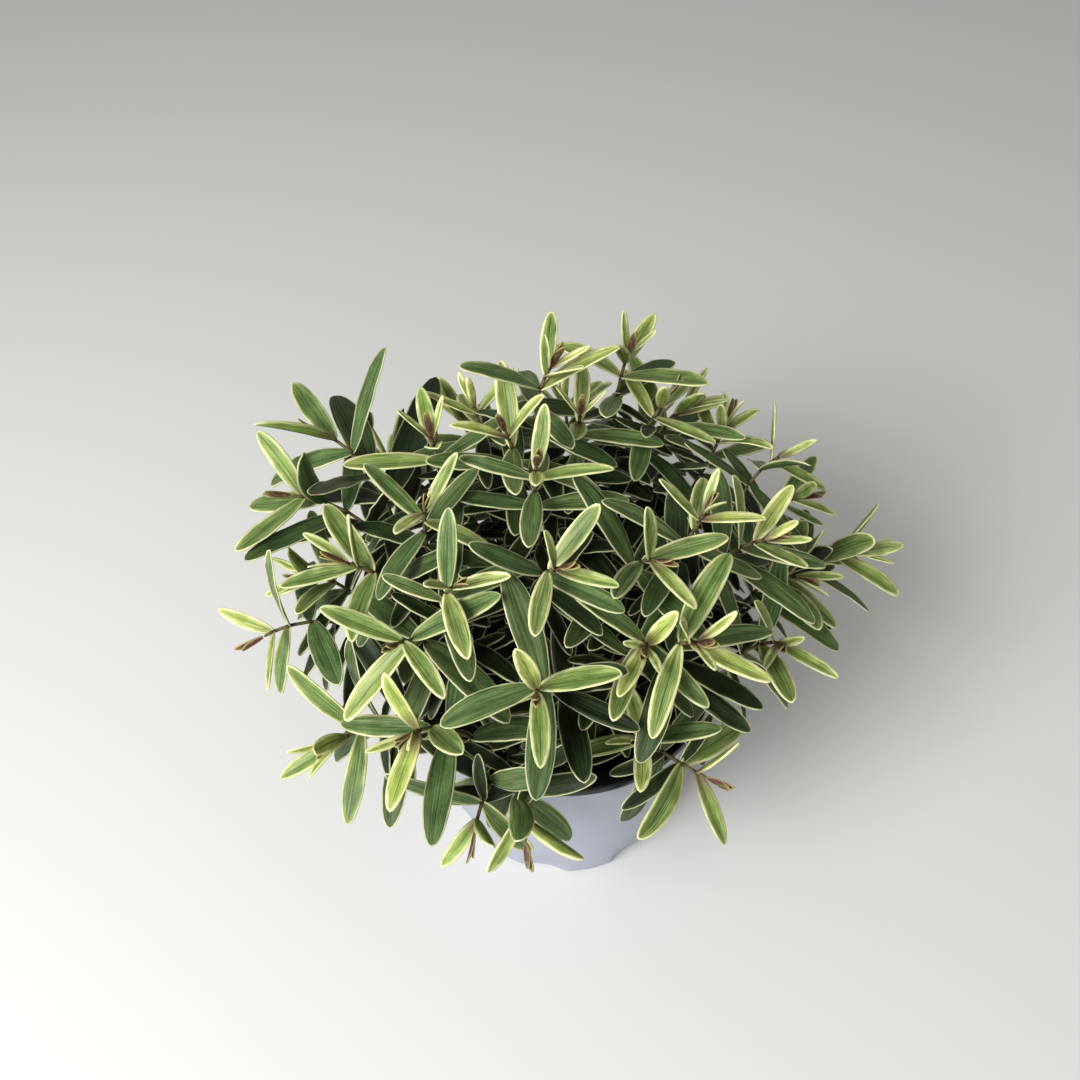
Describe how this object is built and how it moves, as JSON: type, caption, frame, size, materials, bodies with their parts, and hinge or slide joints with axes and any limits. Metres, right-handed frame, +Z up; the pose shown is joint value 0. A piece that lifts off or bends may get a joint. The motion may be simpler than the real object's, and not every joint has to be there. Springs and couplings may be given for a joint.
{
  "type": "potted shrub",
  "caption": "Small dense shrub with narrow pale-edged leaves in crossed pairs, standing in soil in a tapered round nursery pot with a flat flange and a fluted foot.",
  "frame": {"origin": "middle of the pot's base, on the surface that it stands on", "axes": "+Z up along the pot's axis, +X to the right and -Y toward the viewer in the picture"},
  "size_m": [0.2884, 0.2266, 0.2315],
  "materials": {
    "pot": "matt lavender-grey sheet outside, black inside",
    "soil": "rough dark moist peat",
    "foliage": "satin waxy green leaves with cream edges on purple-brown stems"
  },
  "bodies": {
    "root": {"pot": "pot", "soil": "soil", "leafy_stem_01": "foliage", "leafy_stem_02": "foliage", "leafy_stem_03": "foliage", "leafy_stem_04": "foliage", "leafy_stem_05": "foliage", "leafy_stem_06": "foliage", "leafy_stem_07": "foliage", "leafy_stem_08": "foliage", "leafy_stem_09": "foliage", "leafy_stem_10": "foliage", "leafy_stem_11": "foliage", "leafy_stem_12": "foliage", "leafy_stem_13": "foliage", "leafy_stem_14": "foliage", "leafy_stem_15": "foliage", "leafy_stem_16": "foliage", "leafy_stem_17": "foliage", "leafy_stem_18": "foliage", "leafy_stem_19": "foliage", "leafy_stem_20": "foliage"}
  },
  "joints": []
}
